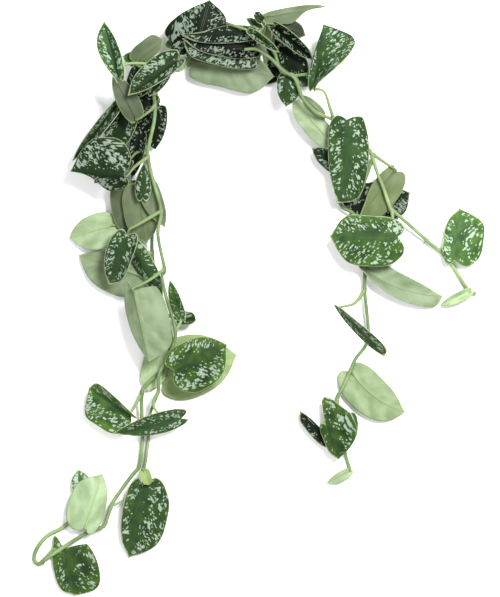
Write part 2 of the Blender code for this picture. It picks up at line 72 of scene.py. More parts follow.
# The skin of a stalk: its kind, from 0 for a stem to 1 for a rib, how light it is, which on stems, stalks
# and ribs is partly painted light and shade, and how brown with age
STEM_KIND = 0.1
STALK_KIND = 0.5
RIB_KIND = 1.0
ROOT_SKIN = (0.0, 0.8, 0.8)
SHOOT_SKIN = (0.5, 1.3, 0.1)
SCAR_REACH = 3.5
SCAR_SHARP = 12.0
SCAR_AGE = 0.35

# How light a stem is at its start and at its end, where that isn't 1. This is partly painted light and
# shade: a stem is darker at its start under the crown, where it lies in shade, and paler towards its free
# end.
STEM_SHADE_AND_LIGHT = {
    "left_front_vine": (1.1, 1.2),
    "left_back_vine": (0.9, 1.5),
    "crown_vine": (0.9, 1.1),
    "right_front_vine": (0.9, 1.7),
    "right_back_vine": (0.9, 1.4),
}

# The relief of a blade, in millimetres, and how far out from the midrib each kind of it starts and is full
MIDRIB_DEPTH = 0.4
MIDRIB_WIDTH = 1.5
VEIN_SPACING = 6.0
QUILT = 0.03
QUILT_FADE = (1.0, 5.0)
SWELL = 1.4
SWELL_LENGTH = 11.0
SWELL_FADE = (0.0, 8.0)
SWELL_SEED = 7.0
GROWN_LENGTH = 60.0
MARGIN = 0.85

# How the side veins run: out and forward from the midrib, and back into the lobes
BLADE_SWEEP = 0.65
LOBE_SWEEP = -0.15
SWEEP_TURN = (-0.2, 0.6)
VEIN_ARC = 0.004

# The silver: how many small fields and dots there are to a millimetre, along the blade and out from its
# midrib, and how far the fields bend and fray
FIELDS_ALONG = 0.74
FIELDS_OUT = 0.44
FIELD_BEND = (1.5, 1.1)
FIELD_FRAY = (0.9, 0.6)
DOTS = 0.5

# How finely each shape is divided
ROW_LENGTH = 1.9
FEWEST_ROWS = 16
MOST_ROWS = 46
BLADE_COLUMNS = 24
STEM_STEPS = 6
PETIOLE_STEPS = 6
RIB_STEPS = 12
STALK_SIDES_STEP = 3
STALK_SMOOTH_ANGLE = 50.0
WELD = 1e-6

# The studio: the camera, the floor and the lamps, as (name, place, power, size)
LENS = 400.0
SENSOR = 36.0
CLIP_END = 100.0
VIEW_MIDDLE = (250.0, 298.5)
VIEW_SIDE = 597.0
FOCUS_HEIGHT = 30.0
FLOOR_SIZE = 12.0
FLOOR_DROP = -0.0004
FLOOR_GREY = 0.8
PAINT = 0.41
SKY_STRENGTH = 0.57
LAMPS = (
    ("key_lamp", (0.7, 0.8, 1.9), 121.0, 0.7),
    ("fill_lamp", (-1.0, 0.1, 1.6), 15.0, 1.0),
    ("low_lamp", (0.2, -1.1, 1.4), 10.0, 1.0),
)

# Which face of a blade is turned up to the viewer
UPPER = "upper"
UNDER = "under"

# Half of a blade's outline from the notch at its base to its tip: how far along the midrib, as a share of
# the blade's length, and how far out from it, as a share of its half width
OUTLINE = (
    (0.00, 0.00), (-0.06, 0.17), (-0.10, 0.40), (-0.06, 0.66), (0.06, 0.89), (0.22, 1.00),
    (0.40, 0.98), (0.57, 0.85), (0.73, 0.62), (0.86, 0.35), (0.945, 0.13), (1.00, 0.00),
)  # fmt: skip
WIDEST = 0.22
MIDRIB_POWER = 1.25
VEIN_SWEEP = 0.06
PAST_TIP = (1.03, -0.1)
WAVES = 3


@dataclass
class Half:
    """One side of a blade: its width in millimetres, how far it is lifted off the level at the base and at
    the tip and how far it bends from midrib to edge, in degrees, and how its edge runs. A lobe over 1
    reaches further back past the notch, a blunt edge is fuller towards the tip and a low one is widest
    nearer the tip."""

    width: float
    lift: float = 0.0
    tip_lift: float = None
    curl: float = 0.0
    lobe: float = 1.0
    blunt: float = 0.45
    low: float = 0.0


@dataclass
class Leaf:
    """A leaf on the sheet: where its stalk leaves the stem, where its blade starts and ends, and its two
    sides, left and right of someone who looks from the base to the tip from above."""

    name: str
    face: str
    joint: tuple
    base: tuple
    tip: tuple
    left: Half
    right: Half
    via: tuple = ()
    arch: float = 2.0
    bow: float = 0.0
    wave: float = 0.8
    phase: float = 0.0


@dataclass
class Vine:
    """A trailing stem with its route, its leaves, its short stubs and roots, how thick it is, and whether
    it rests on the table itself, which is not used here."""

    name: str
    route: tuple
    leaves: tuple
    stubs: tuple = ()
    radius: float = 1.9
    tip_radius: float = 1.6
    rests: bool = False


VINES = (
    Vine(
        "left_front_vine",
        route=(
            (174, 66, 20), (164, 74, 22), (156, 84, 24), (154, 95, 26), (155, 105, 30), (154, 122, 33),
            (149, 145, 34), (148, 157, 34), (153.7, 182, 33), (161, 211, 32), (158, 235, 30),
            (164.5, 269, 28), (162, 277, 27), (167, 300, 26), (175.3, 331, 22), (170.5, 352, 20),
            (159, 374, 18), (158, 392, 16), (149, 417, 8), (148, 439, 4.5), (145, 463, 5),
            (142, 472, 5),
        ),
        leaves=(
            Leaf("corner", UPPER, (176, 66), (184, 46.5, 27), (163.5, 45, 23), Half(4.5), Half(8.5)),
            Leaf("tucked", UNDER, (156, 105), (135.6, 117, 38), (112.5, 74, 42),
                 Half(10.5, 10, blunt=0.27), Half(12, -4), via=((150, 111, 36),)),
            Leaf("shoulder", UPPER, (148, 157), (124.5, 176, 50), (70.5, 171.5, 42),
                 Half(22, -45, blunt=-4.0, low=-0.04), Half(37, -4, blunt=0.74), via=((135, 167, 44),),
                 phase=1.0),
            Leaf("pleated", UPPER, (161, 211), (127, 236, 30), (109, 285, 25),
                 Half(19, 10, curl=70, blunt=0.81), Half(15.5, -12, blunt=0.27),
                 via=((139, 224, 33), (130, 229, 32))),
            Leaf("long_back", UNDER, (164.5, 269), (134, 291, 34), (149, 362, 31),
                 Half(29, -6, lobe=0.2, blunt=0.81, low=0.17), Half(15, -35, lobe=1.6, blunt=0.0),
                 via=((148, 281, 32),)),
            Leaf("bright", UPPER, (170.5, 352), (174, 370, 25), (227, 344, 23),
                 Half(20.5, -5, blunt=0.61), Half(31, -8, blunt=0.74), via=((174, 360, 22),),
                 phase=0.4),
            Leaf("folded", UPPER, (175.3, 331), (181, 317, 22), (169.5, 279.5, 20), Half(8, -30),
                 Half(9, 50, low=-0.1)),
            Leaf("crossing", UPPER, (158, 392), (181, 418.5, 22), (112.5, 433.5, 20),
                 Half(11.5, -40, blunt=-0.2), Half(22, 55, blunt=-0.2),
                 via=((153, 403, 16), (157, 412, 17), (170, 418, 18)), bow=2.0),
            Leaf("hanging", UPPER, (142, 470), (142, 487, 10), (128, 559, 3),
                 Half(31, -5, lobe=1.5, blunt=0.81, low=0.03), Half(15.5, 12), phase=2.0),
            Leaf("bud", UNDER, (142, 470), (144, 472, 13), (149, 485.5, 14), Half(6.5, 30, blunt=0.81),
                 Half(6.5, 30, blunt=0.81), wave=0.0),
        ),
    ),
    Vine(
        "left_back_vine",
        route=(
            (190, 57, 1.7), (178, 62, 1.7), (165, 72, 4), (153, 88, 6), (150, 110, 5), (146, 148, 5),
            (150, 175, 8), (152, 205, 9), (152, 225, 13), (152, 254, 14), (156, 280, 10),
            (164, 310, 9), (171, 335, 9), (172, 352, 9), (167, 365, 9.5), (146, 385, 11),
            (141.6, 394, 12), (141.6, 420, 8), (142, 440, 5), (139, 466, 5), (133, 474, 7),
            (122, 489, 9), (112, 504, 10), (107, 518, 10), (103, 527, 8), (88, 533, 6), (72, 542, 6),
            (57, 552, 6), (44.5, 560, 5), (38, 565, 3.4), (33.5, 561, 2.1), (35, 552, 2), (42, 541, 2),
            (50.6, 534, 2.2), (59.3, 530, 2.5), (70, 522, 2.5), (79, 514, 2.5),
        ),
        leaves=(
            Leaf("shaded", UPPER, (153, 88), (157, 101, 22), (136, 104, 21), Half(10),
                 Half(9, blunt=0.81)),
            Leaf("behind", UPPER, (150, 110), (156.5, 105, 18), (155, 149.5, 8),
                 Half(11.5, -12, lobe=0.1, blunt=0.4, low=-0.06), Half(20, -8, blunt=0.81)),
            Leaf("wedge", UPPER, (146, 148), (139, 129, 12), (131, 179, 11), Half(9), Half(8)),
            Leaf("striped", UPPER, (149, 185), (143, 198, 30.2), (144, 162, 28.2),
                 Half(8.5, -10, blunt=-0.2), Half(8, -10, blunt=-0.2), via=((146, 202, 20),)),
            Leaf("under_edge", UPPER, (146, 152), (128, 160, 20), (94, 183, 18), Half(9), Half(20, -3),
                 via=((137, 152, 14),)),
            Leaf("dim", UNDER, (150, 176), (122, 184, 14), (125, 236, 12), Half(12), Half(13),
                 via=((136, 181, 9),)),
            Leaf("pointed", UNDER, (151, 182), (147, 180, 26), (165, 228, 22), Half(9),
                 Half(13, blunt=0.14)),
            Leaf("wide_back", UNDER, (152, 196), (138, 188, 19), (146, 244, 18.5),
                 Half(16, blunt=0.81), Half(18, blunt=0.81)),
            Leaf("pale", UNDER, (152, 222), (112, 225, 10), (69, 238, 4), Half(20, 6), Half(16.5, 4),
                 via=((128, 214, 6), (115, 217, 8))),
            Leaf("pale_low", UNDER, (152, 254), (140, 276, 9), (78, 254.5, 3.5), Half(26.5),
                 Half(14, -4), via=((150, 266, 10),)),
            Leaf("slanted", UPPER, (152, 252), (132, 245, 22), (163, 299.5, 13), Half(11, -10),
                 Half(10, -40), via=((146, 251, 19),)),
            Leaf("small_fold", UPPER, (166, 315), (179, 319, 14), (196, 320.5, 12),
                 Half(9, 20, blunt=0.9), Half(6, 20)),
            Leaf("waist", UNDER, (171, 345), (158, 350, 5.6), (147, 392, 5.2), Half(14, blunt=0.94),
                 Half(12, blunt=0.94), arch=0.0, wave=0.2),
            Leaf("broad_back", UNDER, (168, 362), (165, 379, 3.2), (237, 355, 6.5), Half(36, -1),
                 Half(27.5, -4)),
            Leaf("left_wing", UPPER, (141.6, 394), (131, 416.5, 16), (88, 388, 10),
                 Half(27, -10, blunt=1.2, low=0.05), Half(14, 75, tip_lift=35, blunt=0.81, low=0.2),
                 phase=1.5),
            Leaf("grey", UNDER, (88, 533), (85, 528, 11.5), (102, 474, 9), Half(24, blunt=0.81),
                 Half(14, -8)),
            Leaf("peeping", UPPER, (79, 514), (88, 502, 2.5), (77, 469.5, 2.5), Half(12, blunt=0.81),
                 Half(9, blunt=0.81)),
            Leaf("lowest", UPPER, (44.5, 560), (63, 550, 3.2), (73.4, 596.6, 1.8),
                 Half(30.5, 1, lobe=0.2, blunt=0.3, low=0.33),
                 Half(14.5, 2, lobe=3.2, blunt=0.7, low=0.12), via=((53, 550, 3),)),
        ),
        stubs=(
            ((103, 527, 8), (106.5, 530.5, 6), 0.6), ((44.5, 560, 5), (42, 567, 3), 0.6),
            ((113, 506, 10), (124, 500, 9), 1.4), ((57, 552, 6), (54, 558, 3), 0.5),
        ),
        radius=1.7,
        tip_radius=2.1,
        rests=True,
    ),
    Vine(
        "left_short_vine",
        route=(
            (190, 56.5, 19), (185, 62, 21), (180, 69.5, 26), (171, 69.5, 32), (160, 66, 37),
            (150, 72, 36), (140, 80, 32), (131, 90, 27), (129, 101, 23),
        ),
        leaves=(
            Leaf("raised", UPPER, (160, 66), (118, 77, 60), (104.5, 22, 66),
                 Half(15.5, 78, tip_lift=-20), Half(13, 45, blunt=0.14),
                 via=((152, 65, 46), (136, 64, 54), (123, 67, 59))),
            Leaf("olive", UNDER, (150, 72), (136, 61, 30), (164, 40, 28),
                 Half(12.5, 8, blunt=1.2, low=0.1), Half(7.5, -10, blunt=0.81)),
            Leaf("spotted_bit", UPPER, (140, 80), (141, 62, 24), (122, 56, 22), Half(7), Half(8)),
            Leaf("fan", UPPER, (172, 69), (178, 61, 50), (128, 96.5, 53), Half(13, 50, blunt=0.3),
                 Half(16.5, -6, blunt=0.5), via=((180, 66, 42),)),
            Leaf("fan_back", UPPER, (140, 80), (134, 92, 31), (143, 57, 29), Half(10),
                 Half(14, blunt=0.68), via=((140, 86, 31),)),
            Leaf("under_fan", UPPER, (172, 69), (167, 72, 34), (149, 97, 34), Half(6.5, 5),
                 Half(14, -5)),
            Leaf("edge_on", UPPER, (129, 101), (118, 104, 27), (72, 161, 20), Half(14, 60),
                 Half(13, 65)),
            Leaf("dark_back", UPPER, (129, 101), (128, 107, 20), (114, 152, 13), Half(13.5, 8),
                 Half(20, -12)),
        ),
    ),
    Vine(
        "crown_vine",
        route=(
            (272, 71, 1.8), (262, 67, 1.9), (240, 62, 3), (212, 58, 5), (192, 60, 8), (188, 46, 12),
            (200, 34, 22), (222, 22, 28),
        ),
        leaves=(
            Leaf("top", UPPER, (200, 34), (196.5, 48, 36), (209.5, 0, 34),
                 Half(35, -5, lobe=2.2, blunt=0.2, low=-0.18),
                 Half(24, -10, lobe=0.5, blunt=0.9, low=0.05), arch=6),
            Leaf("first_shelf", UPPER, (266, 69), (252, 32.5, 42), (181, 35, 46),
                 Half(10.5, -5, blunt=0.3, low=0.12), Half(7.5, -4, blunt=-3.0), via=((263, 50, 28),)),
            Leaf("second_shelf", UPPER, (259, 66), (256, 47, 33), (181.7, 39, 42), Half(14, low=0.03),
                 Half(12)),
            Leaf("third_shelf", UPPER, (251, 64), (254, 57, 27), (183, 41.5, 39),
                 Half(16, blunt=0.9, low=0.15), Half(13)),
            # This dark leaf lies in the deep shade of the crown's hollow; its very low light value is
            # painted shade.
            Leaf("hollow_one", UPPER, (271, 70), (285, 60, 8), (262, 84, 5), Half(10), Half(12)),
            Leaf("silver_back", UNDER, (192, 60), (193, 61, 13), (275, 76, 12), Half(16, blunt=1.3),
                 Half(20, lobe=0.3, blunt=1.6), via=((188, 65, 9), (189, 61.5, 11.5))),
            Leaf("young", UPPER, (222, 22), (250.5, 32.5, 50), (279.6, 53.6, 52), Half(7, 50),
                 Half(7, 50), via=((236, 27, 47),), wave=0.2),
        ),
        rests=True,
    ),
    Vine(
        "crown_right_vine",
        route=((263, 34, 30), (274, 51, 24), (284, 74, 26), (310, 74, 27)),
        leaves=(
            Leaf("top_pale", UNDER, (267, 46), (268, 17, 48), (326.5, 7, 35),
                 Half(5.8, 15, blunt=-0.5, low=0.2), Half(10.5, -15, blunt=-12.0, low=0.08),
                 via=((269, 30, 38),)),
            Leaf("dusky", UNDER, (265, 40), (271, 21, 36), (306, 36, 30), Half(10, 10, blunt=1.0),
                 Half(10, -10, blunt=0.81)),
            Leaf("ridge", UPPER, (270, 53), (274, 28, 41), (313.5, 60.5, 30), Half(12, 50),
                 Half(10, 50), via=((273, 42, 32),)),
            Leaf("dark_blade", UPPER, (270, 53), (282, 46, 22), (309, 74, 18), Half(11),
                 Half(14, blunt=0.81)),
            Leaf("deep", UPPER, (284, 74), (288, 66, 13), (312, 86, 11), Half(11), Half(10)),
            Leaf("tip_bit", UPPER, (262, 34), (260, 29, 35), (245.5, 18, 35), Half(3.5), Half(5)),
            Leaf("knob", UPPER, (262, 34), (262, 22, 46), (255, 12.5, 44), Half(5, 20), Half(5, 20),
                 via=((265, 28, 38),)),
            # This dark leaf lies in the shade of the crown's hollow; its low light value is painted shade.
            Leaf("hollow_two", UPPER, (268, 50), (273, 44, 15), (294, 76, 13), Half(9), Half(10)),
        ),
    ),
    Vine(
        "right_front_vine",
        route=(
            (244.5, 50, 44), (256, 49.5, 44.5), (264, 54, 45), (273, 61, 44), (284, 72, 42),
            (295, 79, 41), (301.7, 96.6, 38), (312, 109, 34), (320.8, 114.8, 30), (334, 120, 22),
            (350, 134, 14), (366.5, 147, 13), (371, 152, 13), (373, 158, 15), (378, 174, 18),
            (383, 186, 19), (389.5, 205, 19), (392, 210, 18), (401, 217, 13), (424, 237, 7),
            (428, 241, 6), (441, 251, 4.5), (447, 258, 4), (455, 268, 3.2), (469, 290, 2.2),
            (477, 293.6, 2),
        ),
        leaves=(
            Leaf("little_heart", UPPER, (284, 72), (285, 76, 35), (286, 107, 31),
                 Half(14, -4, blunt=0.81), Half(9, -20)),
            Leaf("flag", UPPER, (334, 120), (314, 86, 42), (323.5, 23.8, 34),
                 Half(7.5, -5, tip_lift=-80, blunt=0.3),
                 Half(36, 86, tip_lift=-15, blunt=0.81, low=0.2), via=((330, 108, 32), (324, 92, 40))),
            Leaf("great_heart", UPPER, (352, 136), (346.5, 119.5, 34), (337, 203.4, 24),
                 Half(21, -10, lobe=0.2, blunt=1.0, low=0.18), Half(21, -10, lobe=0.7, blunt=0.27),
                 bow=6, wave=1.4, phase=0.7),
            Leaf("heart_behind", UPPER, (373, 158), (352, 210, 4.5), (411, 192, 4),
                 Half(23, blunt=0.5, low=-0.12), Half(21, blunt=1.0, low=0.1), via=((362, 190, 7),)),
            Leaf("veil", UNDER, (371, 152), (394, 172, 13), (358, 220, 12),
                 Half(19, blunt=0.54, low=0.08), Half(10, blunt=-1.0), via=((386, 163, 15),)),
            Leaf("broad_heart", UPPER, (392, 210), (398, 237, 29), (329.5, 236, 24),
                 Half(30, -8, blunt=1.0), Half(21, -12, blunt=1.5), phase=1.2),
            Leaf("round_end", UPPER, (447, 258), (454.6, 260, 13), (460, 207.5, 9),
                 Half(13, -8, blunt=0.7), Half(28, -8, blunt=1.1, low=0.06), phase=2.2),
            Leaf("furled", UNDER, (469, 290), (470, 292, 4.6), (441, 306, 3.4), Half(8, 50),
                 Half(8, 50), wave=0.2),
        ),
        stubs=(((428, 241, 6), (431, 236.5, 4), 0.6), ((427, 240, 6), (424, 243.5, 4), 0.5)),
        radius=1.7,
        tip_radius=1.9,
        rests=True,
    ),
    Vine(
        "right_back_vine",
        route=(
            (298, 92, 8), (308, 104, 8), (320, 118, 8), (330, 140, 8), (335, 175, 7),
            (340.7, 204, 8.5), (355, 215, 9), (363, 240, 10), (365, 268, 11), (365, 290, 9),
            (366, 300, 9), (369, 333, 8), (366, 346, 7), (356.6, 358, 6.5), (350.8, 371, 7),
            (342, 390.5, 7), (338, 398, 7), (340, 430, 5), (346, 455, 3), (350, 469, 1.5),
        ),
        leaves=(
            Leaf("long_pale", UNDER, (330, 140), (329, 139, 17), (292, 98, 18), Half(13, blunt=0.68),
                 Half(10)),
            Leaf("sliver", UNDER, (322, 120), (322, 114, 21.5), (303, 95, 23), Half(5), Half(5)),
            Leaf("dark_tip", UPPER, (335, 178), (346, 171, 16), (311.5, 147.4, 12), Half(10), Half(10)),
            Leaf("tongue", UNDER, (364, 250), (367, 269, 9), (443.5, 296, 5), Half(15, -4, blunt=0.27),
                 Half(12.5, 66, tip_lift=-5, blunt=1.1, low=0.22), bow=-7),
            Leaf("ribbon", UPPER, (365, 290), (342, 309.5, 22), (384.5, 357, 20),
                 Half(14, 88, tip_lift=45, low=0.25), Half(10, -55, lobe=1.5), via=((355, 303, 16),)),
            Leaf("pale_heart", UNDER, (350.8, 371), (352.7, 373, 4), (406, 412.5, 4),
                 Half(19, -3, blunt=0.54), Half(22, 2, blunt=0.81), bow=-6),
            Leaf("twisted_heart", UPPER, (338, 398), (326, 425, 16), (338.6, 460, 11),
                 Half(31.5, 3, lobe=6.0, blunt=0.4, low=-0.2), Half(9, -15, blunt=1.0),
                 via=((336, 412, 10),), bow=1.5),
            Leaf("narrow_dark", UPPER, (340, 432), (327, 442, 8), (300, 411, 5),
                 Half(8, blunt=0.81, low=0.1), Half(4)),
            Leaf("last", UNDER, (350, 469), (350, 471, 3), (327, 483.6, 2), Half(6.5, 10, blunt=0.68),
                 Half(4, 10), wave=0.2),
        ),
        rests=True,
    ),
)


@dataclass
class Look:
    """How a leaf is coloured: how much silver it has, how light it is, which paints the light and shade that
    fall on it as well as its own tone, how yellow it is beside the others, how pale its midrib is and how
    brown its left edge has dried, or its right one where this is below 0."""

    silver: float
    light: float
    warm: float
    rib: float = 0.0
    brown: float = 0.0


# Each leaf's light value is painted light and shade as well as its own tone: leaves in the shade of the
# hollows go as dark as 0.04 and stay dark in any light, and lit ones go up to 1.7.
LOOKS = {
    "corner": Look(0.2, 1.05, 0.6),
    "tucked": Look(0.5, 0.21, 0.6),
    "shoulder": Look(0.66, 0.41, 0.1),
    "pleated": Look(0.6, 0.75, 0.2),
    "long_back": Look(0.5, 0.7, 0.4),
    "bright": Look(0.5, 0.82, 1.0, brown=0.8),
    "folded": Look(0.7, 1.15, 0.8),
    "crossing": Look(0.45, 1.4, 0.1, brown=-0.8),
    "hanging": Look(0.44, 0.87, 0.3, brown=0.5),
    "bud": Look(0.5, 1.0, 0.9),
    "shaded": Look(0.3, 0.1, 0.3),
    "behind": Look(0.6, 0.12, 0.2),
    "wedge": Look(0.5, 0.07, 0.2),
    "striped": Look(0.55, 0.68, 0.1),
    "under_edge": Look(0.3, 0.2, 0.2),
    "dim": Look(0.5, 0.22, 0.6),
    "pointed": Look(0.5, 0.44, 0.4),
    "wide_back": Look(0.5, 0.36, 0.6),
    "pale": Look(0.5, 1.0, 0.3),
    "pale_low": Look(0.5, 0.7, 0.4),
    "slanted": Look(0.55, 0.87, 0.4),
    "small_fold": Look(0.6, 0.45, 0.6),
    "waist": Look(0.5, 1.3, 0.4),
    "broad_back": Look(0.5, 1.05, 0.7),
    "left_wing": Look(0.52, 1.35, 0.8),
    "grey": Look(0.5, 1.2, 0.0),
    "peeping": Look(0.8, 1.6, 0.5),
    "lowest": Look(0.35, 0.85, 0.8, brown=0.8),
    "raised": Look(0.7, 1.25, 0.2),
    "olive": Look(0.5, 0.34, 0.6),
    "spotted_bit": Look(0.5, 1.45, 0.3),
    "fan": Look(0.55, 0.5, 0.2),
    "fan_back": Look(0.6, 0.23, 0.2),
    "under_fan": Look(0.75, 0.32, 0.3),
    "edge_on": Look(0.7, 0.72, 0.3),
    "dark_back": Look(0.55, 0.5, 0.2),
    "top": Look(0.62, 0.19, 0.1, rib=1.0),
    "first_shelf": Look(0.62, 0.15, 0.1),
    "second_shelf": Look(0.58, 0.06, 0.1),
    "third_shelf": Look(0.72, 0.36, 0.2),
    "hollow_one": Look(0.5, 0.04, 0.2),
    "silver_back": Look(0.5, 0.59, 0.1),
    "young": Look(0.5, 0.47, 0.6),
    "top_pale": Look(0.5, 0.44, 0.2),
    "dusky": Look(0.5, 0.12, 0.4),
    "ridge": Look(0.5, 0.14, 0.2),
    "dark_blade": Look(0.3, 0.17, 0.2),
    "deep": Look(0.8, 1.2, 0.2),
    "tip_bit": Look(0.5, 1.1, 0.2),
    "knob": Look(0.5, 0.5, 0.2),
    "hollow_two": Look(0.4, 0.3, 0.2),
    "little_heart": Look(0.65, 0.7, 0.2),
    "flag": Look(0.5, 1.2, 0.1),
    "great_heart": Look(0.36, 1.02, 0.12),
    "heart_behind": Look(0.7, 0.17, 0.2),
    "veil": Look(0.5, 0.4, 0.8),
    "broad_heart": Look(0.46, 1.15, 0.55),
    "round_end": Look(0.4, 1.7, 0.5),
    "furled": Look(0.5, 1.6, 0.2),
    "long_pale": Look(0.5, 0.95, 0.1),
    "sliver": Look(0.5, 0.53, 0.1),
    "dark_tip": Look(0.6, 0.37, 0.1),
    "tongue": Look(0.5, 0.72, 0.1),
    "ribbon": Look(0.64, 1.05, 0.5),
    "pale_heart": Look(0.5, 0.85, 0.5),
    "twisted_heart": Look(0.34, 0.72, 0.9),
    "narrow_dark": Look(0.6, 0.08, 0.7),
    "last": Look(0.5, 0.95, 0.2),
}


def sheet(x, y, z):
    """A place on the sheet, in metres in the object's own frame."""
    return Vector(((x - SHEET_MIDDLE[0]) * MM, (SHEET_MIDDLE[1] - y) * MM, z * MM))


def between_points(a, b, c, d, t):
    """The point at a share t of the way from b to c, on a smooth curve that also goes through a and d."""
    return 0.5 * (2 * b + (c - a) * t + (2 * a - 5 * b + 4 * c - d) * t**2 + (3 * b - a - 3 * c + d) * t**3)


def between(start, end, share):
    return start + (end - start) * share


def smooth_step(low, high, value):
    """From 0 to 1 as a value goes from low to high, slowly at both ends."""
    t = min(max((value - low) / (high - low), 0.0), 1.0)
    return t * t * (3 - 2 * t)


def smooth_path(points, steps):
    """A smooth curve through the points, with this many pieces between one point and the next."""
    points = [Vector(p) for p in points]
    ends = [points[0] * 2 - points[1]] + points + [points[-1] * 2 - points[-2]]
    path = []
    for a, b, c, d in zip(ends, ends[1:], ends[2:], ends[3:]):
        for i in range(steps):
            path.append(between_points(a, b, c, d, i / steps))
    return path + [points[-1]]


def outline(u):
    """A point of the half outline, at a share u of the way from the notch to the tip."""
    place = min(max(u, 0.0), 1.0) * (len(OUTLINE) - 1)
    i = min(int(place), len(OUTLINE) - 2)
    ends = (OUTLINE[0], *OUTLINE, PAST_TIP)
    return between_points(*(Vector(p) for p in ends[i : i + 4]), place - i)


def across(half, distance, lift):
    """How far out and up a point lies on one side of a blade, at a distance from the midrib."""
    start = math.radians(lift)
    bend = math.radians(half.curl) / half.width
    if abs(bend) < WELD:
        return distance * math.cos(start), distance * math.sin(start)
    end = start + bend * distance
    return (math.sin(end) - math.sin(start)) / bend, (math.cos(start) - math.cos(end)) / bend


def midrib(leaf, x):
    """The place on the midrib at a share x of the blade's length, and the directions along it, to the
    left and up from the blade."""
    base, tip = sheet(*leaf.base), sheet(*leaf.tip)
    along = tip - base
    side = Vector((0, 0, 1)).cross(along).normalized()
    up = along.normalized().cross(side)
    hump = 4 * x * (1 - x)
    slope = 4 * (1 - 2 * x)
    bend = up * (leaf.arch * MM) + side * (leaf.bow * MM)
    forward = (along + bend * slope).normalized()
    side = (side - forward * side.dot(forward)).normalized()
    return base + along * x + bend * hump, forward, side, forward.cross(side)


def leaf_length(leaf):
    return (Vector(leaf.tip) - Vector(leaf.base)).length


def below(leaf):
    """Which way the blade's underside faces: -1 down or 1 up."""
    return -1.0 if leaf.face == UPPER else 1.0


def vein_of(leaf, along, reach):
    """Which side vein a place lies on: how far along the midrib that vein starts, in millimetres. The veins
    sweep towards the tip, and back into the lobes at the base."""
    sweep = between(LOBE_SWEEP, BLADE_SWEEP, smooth_step(*SWEEP_TURN, along / leaf_length(leaf)))
    return along - sweep * reach + VEIN_ARC * reach**2


def relief(leaf, seed, vein, reach, share):
    """How far the blade stands off its smooth form, in millimetres: a groove along the midrib, shallow ones
    along the side veins, and uneven swells that die out at the midrib."""
    groove = -MIDRIB_DEPTH * math.exp(-((reach / MIDRIB_WIDTH) ** 2)) * (1 - share**2)
    quilt = QUILT * (math.cos(math.tau * vein / VEIN_SPACING) - 1) * smooth_step(*QUILT_FADE, reach)
    swell = noise.noise(Vector((vein / SWELL_LENGTH, reach / SWELL_LENGTH, seed * SWELL_SEED)))
    size = min(1.0, leaf_length(leaf) / GROWN_LENGTH)
    return -below(leaf) * (groove + quilt) + SWELL * size * swell * smooth_step(*SWELL_FADE, reach)


def blade_point(leaf, seed, u, v):
    """A point of the blade, at a share u from base to tip and v from the right edge, -1, to the left, 1.
    With it come its vein, its distance from the midrib and its distance from the edge, in millimetres."""
    half = leaf.left if v >= 0 else leaf.right
    reach = abs(v)
    edge_x, edge_y = outline(u)
    if edge_x > WIDEST:
        edge_y = max(edge_y, 0.0) ** (1 - half.blunt * (1 - edge_x**4))
    edge_x = edge_x * half.lobe if edge_x < 0 else edge_x + half.low * math.sin(math.pi * edge_x)
    root_x = u**MIDRIB_POWER
    x = root_x + (edge_x - root_x) * reach - VEIN_SWEEP * reach * (1 - reach) * math.sin(math.pi * u)
    share = min(max(x, 0.0), 1.0)
    lift = half.lift if half.tip_lift is None else between(half.lift, half.tip_lift, share)
    distance = edge_y * half.width * reach
    out, rise = across(half, distance, lift)
    waves = math.sin(WAVES * math.pi * u + leaf.phase + (v > 0))
    rise += leaf.wave * reach**2 * math.sin(math.pi * u) * waves
    vein = vein_of(leaf, x * leaf_length(leaf), distance)
    rise += relief(leaf, seed + (v > 0), vein, distance, share)
    place, forward, side, up = midrib(leaf, x)
    point = place + side * (math.copysign(out, v) * MM) + up * (rise * MM)
    return point, vein, math.copysign(distance, v), edge_y * half.width * (1 - reach)


def clear_selection():
    """The loaded nodes come in selected, and an operator acts on all that is selected."""
    for obj in bpy.context.selected_objects:
        obj.select_set(False)


def pick(*objs):
    clear_selection()
    for obj in objs:
        obj.select_set(True)
    bpy.context.view_layer.objects.active = objs[0]


def weld(obj):
    """Merges the points of a mesh that lie on each other."""
    pick(obj)
    bpy.ops.object.mode_set(mode="EDIT")
    bpy.ops.mesh.select_all(action="SELECT")
    bpy.ops.mesh.remove_doubles(threshold=WELD)
    bpy.ops.object.mode_set(mode="OBJECT")


def join(name, objs):
    """One piece of several, with the place in its mesh."""
    pick(*objs)
    bpy.ops.object.join()
    piece = bpy.context.object
    piece.name = name
    piece.data.name = name
    return piece


def store_numbers(mesh, name, numbers):
    """Keeps a number for each point of a mesh, for the materials to read."""
    mesh.attributes.new(name, "FLOAT", "POINT").data.foreach_set("value", numbers)


def store_triples(mesh, name, triples):
    """Keeps three numbers for each point of a mesh, for the materials to read."""
    numbers = [number for triple in triples for number in triple]
    mesh.attributes.new(name, "FLOAT_VECTOR", "POINT").data.foreach_set("vector", numbers)


def thicken(blade, face, finishes):
    """Gives a blade its thickness, and its upper face, underside and rim a finish of their own."""
    for finish in finishes:
        blade.data.materials.append(finish)
    top = 0 if face == UPPER else 1
    for polygon in blade.data.polygons:
        polygon.material_index = top
    wall = blade.modifiers.new("thickness", "SOLIDIFY")
    wall.thickness = BLADE_THICKNESS * MM
    wall.offset = 0.0
    wall.material_offset = 1 - 2 * top
    wall.material_offset_rim = 2 - top
    bpy.ops.object.modifier_apply(modifier=wall.name)


